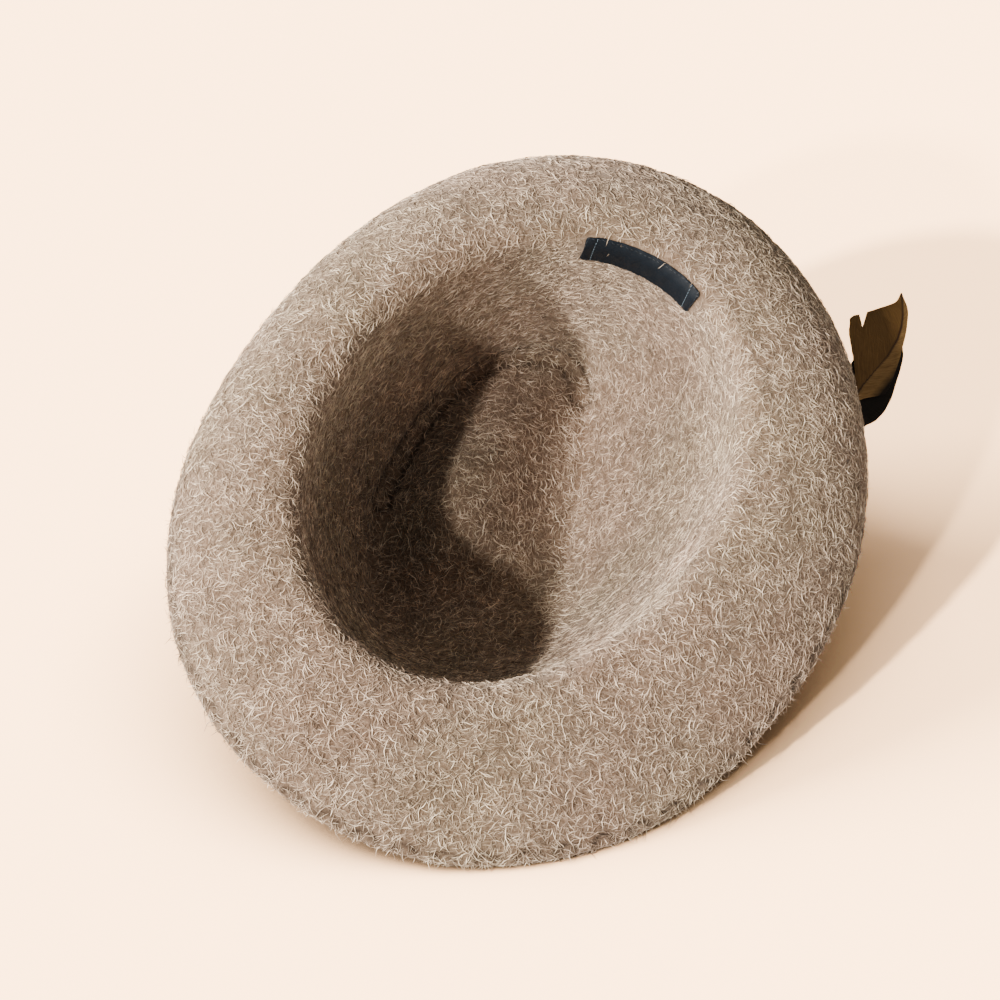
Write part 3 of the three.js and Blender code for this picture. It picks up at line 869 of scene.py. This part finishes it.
# %% Base of the feather materials


def attribute_mask(nodes, links, name, low, high):
    """0 to 1 as an attribute goes from low to high, in millimetres."""
    source = nodes.new("ShaderNodeAttribute")
    source.attribute_name = name
    mapped = nodes.new("ShaderNodeMapRange")
    mapped.inputs["From Min"].default_value = low
    mapped.inputs["From Max"].default_value = high
    links.new(source.outputs["Fac"], mapped.inputs["Value"])
    return mapped.outputs["Result"]


def barb_material(name, dark, light):
    material, nodes, links = new_material(name)
    shader = nodes["Principled BSDF"]
    streak = nodes.new("ShaderNodeGroup")
    streak.node_tree = barb_group
    streak.inputs["Dark"].default_value = dark
    streak.inputs["Light"].default_value = light
    bump = nodes.new("ShaderNodeBump")
    bump.inputs["Strength"].default_value = 0.5
    bump.inputs["Distance"].default_value = 0.2 * MM
    links.new(streak.outputs["Height"], bump.inputs["Height"])
    links.new(bump.outputs["Normal"], shader.inputs["Normal"])
    shader.inputs["Roughness"].default_value = 0.55
    shader.inputs["Specular IOR Level"].default_value = 0.2
    return material, nodes, links, shader, streak


print("base of the feather materials ready")

# %% [markdown]
# The brown vane is darker on the inner side of the shaft, lighter and greyer on the outer side, and nearly
# black along its outer margin. The shaft itself is a thin dark line.

# %% Brown feather material
BROWN_DARK = (0.075, 0.038, 0.010, 1)
BROWN_LIGHT = (0.16, 0.09, 0.028, 1)
MARGIN_COLOR = (0.008, 0.004, 0.002, 1)
SHAFT_COLOR = (0.028, 0.012, 0.006, 1)
OUTER_GAIN = (1.7, 1.85, 2.3, 1)
brown_material, nodes, links, shader, streak = barb_material("brown_barbs", BROWN_DARK, BROWN_LIGHT)
outer = attribute_mask(nodes, links, "across", -0.3, 0.6)
lighter = mix_node(nodes, links, outer, (1, 1, 1, 1), OUTER_GAIN)
colored = mix_node(nodes, links, 1.0, streak.outputs["Color"], lighter, "MULTIPLY")
margin = attribute_mask(nodes, links, "across", 5.0, 8.5)
colored = mix_node(nodes, links, margin, colored, MARGIN_COLOR)
near_shaft = nodes.new("ShaderNodeMath")
near_shaft.operation = "ABSOLUTE"
distance = nodes.new("ShaderNodeAttribute")
distance.attribute_name = "across"
links.new(distance.outputs["Fac"], near_shaft.inputs[0])
shaft_mask = nodes.new("ShaderNodeMapRange")
shaft_mask.inputs["From Min"].default_value = 0.9
shaft_mask.inputs["From Max"].default_value = 0.3
links.new(near_shaft.outputs[0], shaft_mask.inputs["Value"])
colored = mix_node(nodes, links, shaft_mask.outputs["Result"], colored, SHAFT_COLOR)
links.new(colored, shader.inputs["Base Color"])
dress(brown, "feather_brown", brown_material)
print("brown feather dressed in", brown_material.name)

# %% [markdown]
# The black feather under it has one even colour, so the streaks of its barbs are all that it needs.

# %% Black feather material
BLACK_DARK = (0.0025, 0.0016, 0.001, 1)
BLACK_LIGHT = (0.010, 0.006, 0.004, 1)
black_material, nodes, links, shader, streak = barb_material("black_barbs", BLACK_DARK, BLACK_LIGHT)
links.new(streak.outputs["Color"], shader.inputs["Base Color"])
dress(black, "feather_black", black_material)
print("black feather dressed in", black_material.name)

# %% [markdown]
# The label is a strip of navy satin. Its ends are folded under, so they stand a little proud, and the strip
# is never quite flat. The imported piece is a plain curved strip, so the folds and ripples are added here.

# %% Label: folds and ripples
LABEL_MIDDLE = in_room(12.2, 97.4, 1.9)
LABEL_ALONG = (LEFT * -0.979 + BACK * 0.204 + CROWN * -0.009).normalized()
LABEL_UP = (LEFT * -0.048 + BACK * -0.187 + CROWN * 0.981).normalized()
LABEL_OUT = LABEL_ALONG.cross(LABEL_UP)
if LABEL_OUT.dot(BACK) > 0:
    LABEL_OUT = -LABEL_OUT
LABEL_LENGTH = 52
LABEL_HEIGHT = 17


def on_label(point):
    offset = (point - LABEL_MIDDLE) / MM
    return offset.dot(LABEL_ALONG), offset.dot(LABEL_UP)


label = soft_copy("label", "woven_label")
finish_soft(label, 3)
FOLD = 3.4
FOLD_RISE = 0.35
RIPPLE = 0.12
for v in label.data.vertices:
    u, w = on_label(v.co)
    from_end = LABEL_LENGTH / 2 - abs(u)
    fold = 1 if from_end < FOLD else math.exp(-((from_end - FOLD) / 0.5) ** 2)
    ripple = RIPPLE * math.sin(u * 0.9) * math.cos(w * 0.35)
    v.co += LABEL_OUT * (FOLD_RISE * fold + ripple) * MM
print("label corners in the room:", [tuple(round(x, 3) for x in label.bound_box[k]) for k in (0, 6)])

# %% [markdown]
# The satin is woven with fine lines along its length. The strip gets its own flat map, so that the weave
# follows the cloth and not the room.

# %% Label: satin
weave_map = label.data.uv_layers.new(name="weave")
for loop in label.data.loops:
    u, w = on_label(label.data.vertices[loop.vertex_index].co)
    weave_map.data[loop.index].uv = (u / LABEL_LENGTH + 0.5, w / LABEL_HEIGHT + 0.5)
label_material, nodes, links = new_material("satin_label")
shader = nodes["Principled BSDF"]
uv = nodes.new("ShaderNodeUVMap")
uv.uv_map = "weave"
stretched = nodes.new("ShaderNodeMapping")
stretched.inputs["Scale"].default_value = (30, 60, 1)
links.new(uv.outputs["UV"], stretched.inputs["Vector"])
threads = noise_node(nodes, links, stretched.outputs["Vector"], 1.0, 3, 0.7)
rows = nodes.new("ShaderNodeTexWave")
rows.wave_type = "BANDS"
rows.bands_direction = "Y"
rows.inputs["Scale"].default_value = 14
rows.inputs["Distortion"].default_value = 0.8
links.new(uv.outputs["UV"], rows.inputs["Vector"])
satin = ramp_node(nodes, links, threads.outputs["Fac"], [
    (0.3, (0.0035, 0.0055, 0.009, 1)), (0.6, (0.0075, 0.012, 0.019, 1)), (0.8, (0.014, 0.023, 0.036, 1)),
])
colored = mix_node(nodes, links, 0.35, satin.outputs["Color"], rows.outputs["Color"], "MULTIPLY")
links.new(colored, shader.inputs["Base Color"])
bump = nodes.new("ShaderNodeBump")
bump.inputs["Strength"].default_value = 0.5
bump.inputs["Distance"].default_value = 0.15 * MM
links.new(rows.outputs["Fac"], bump.inputs["Height"])
links.new(bump.outputs["Normal"], shader.inputs["Normal"])
shader.inputs["Roughness"].default_value = 0.5
shader.inputs["Specular IOR Level"].default_value = 0.12
dress(label, "label", label_material)
print("label dressed in", label_material.name)

# %% [markdown]
# The label is sewn down: a row of pale blue stitches across each end, and small dark ones along its edges.
# One stitch is modelled, a ball drawn out to a short roll, and then copied. Each copy is laid on the cloth
# below its place and turned to follow it.

# %% Model and lay stitches
STITCH_LENGTH = 1.5
STITCH_SEEK = 8
STITCH_SINK = 0.4


def model_stitch(name, thickness):
    """One stitch along X, in millimetres."""
    deselect()
    bpy.ops.mesh.primitive_uv_sphere_add(segments=6, ring_count=4, radius=thickness * MM)
    stitch = bpy.context.object
    stitch.name = name
    bpy.ops.object.mode_set(mode="EDIT")
    bpy.ops.mesh.select_all(action="SELECT")
    bpy.ops.transform.rotate(value=math.radians(90), orient_axis="Y", center_override=(0, 0, 0))
    bpy.ops.transform.resize(value=(STITCH_LENGTH / 2 / thickness, 1, 0.8), center_override=(0, 0, 0))
    bpy.ops.object.mode_set(mode="OBJECT")
    return stitch


def lay_stitches(name, places, thickness, material):
    """Copies one stitch to each place: how far along, how far up, and its direction on the label."""
    pattern = model_stitch(name + "_pattern", thickness)
    copies = []
    for u, w, angle in places:
        start = LABEL_MIDDLE + (LABEL_ALONG * u + LABEL_UP * w + LABEL_OUT * STITCH_SEEK) * MM
        found, spot, normal, _ = label.ray_cast(start, -LABEL_OUT)
        if not found:
            found, spot, normal, _ = label.closest_point_on_mesh(start)
        heading = (LABEL_ALONG * math.cos(angle) + LABEL_UP * math.sin(angle))
        heading = (heading - normal * heading.dot(normal)).normalized()
        turn = Matrix((heading, normal.cross(heading), normal)).transposed().to_4x4()
        copy = bpy.data.objects.new(name, pattern.data.copy())
        copy.data.transform(Matrix.Translation(spot + normal * thickness * STITCH_SINK * MM) @ turn)
        bpy.context.collection.objects.link(copy)
        copies.append(copy)
    bpy.data.objects.remove(pattern)
    deselect()
    for copy in copies:
        copy.select_set(True)
    bpy.context.view_layer.objects.active = copies[0]
    bpy.ops.object.join()
    piece = bpy.context.object
    piece.name = name
    bpy.ops.object.shade_smooth()
    dress(piece, None, material)
    print(name, len(places), "stitches")


print("stitch helpers ready")

# %% [markdown]
# Thread is twisted, so its colour changes in fine steps along it. Fine noise is enough for stitches so small.

# %% Thread


def thread_material(name, dark, light):
    material, nodes, links = new_material(name)
    shader = nodes["Principled BSDF"]
    place = nodes.new("ShaderNodeTexCoord")
    twist = noise_node(nodes, links, place.outputs["Object"], 2500, 2)
    color = ramp_node(nodes, links, twist.outputs["Fac"], [(0.35, dark), (0.65, light)])
    links.new(color.outputs["Color"], shader.inputs["Base Color"])
    bump = nodes.new("ShaderNodeBump")
    bump.inputs["Distance"].default_value = 0.05 * MM
    links.new(twist.outputs["Fac"], bump.inputs["Height"])
    links.new(bump.outputs["Normal"], shader.inputs["Normal"])
    shader.inputs["Roughness"].default_value = 0.5
    return material


pale_thread = thread_material("pale_thread", (0.06, 0.09, 0.12, 1), (0.16, 0.22, 0.28, 1))
dark_thread = thread_material("dark_thread", (0.004, 0.006, 0.009, 1), (0.02, 0.03, 0.042, 1))
print("threads:", pale_thread.name, dark_thread.name)

# %% [markdown]
# The pale stitches stand upright in two straight rows beside the folds. The dark ones follow the four edges,
# each a little askew, as hand sewing is.

# %% Sew the label down
ROW_STEP = 1.8
EDGE_STEP = 2
ROW_STARTS = [ROW_STEP * (step - 4) for step in range(9)]
PALE_INSET = 4.6
DARK_INSET = 0.9
rng = random.Random(5)
upright = math.radians(90)
pale_places = []
for end in (-1, 1):
    for w in ROW_STARTS:
        pale_places.append((end * (LABEL_LENGTH / 2 - PALE_INSET), w, upright))
lay_stitches("pale_stitches", pale_places, 0.17, pale_thread)
dark_places = []
for edge in (-1, 1):
    for step in range(LABEL_LENGTH // EDGE_STEP):
        u = -LABEL_LENGTH / 2 + 1 + step * EDGE_STEP
        dark_places.append((u, edge * (LABEL_HEIGHT / 2 - DARK_INSET), rng.uniform(-0.25, 0.25)))
    for w in ROW_STARTS:
        dark_places.append((edge * (LABEL_LENGTH / 2 - DARK_INSET), w, upright + rng.uniform(-0.3, 0.3)))
lay_stitches("dark_stitches", dark_places, 0.16, dark_thread)
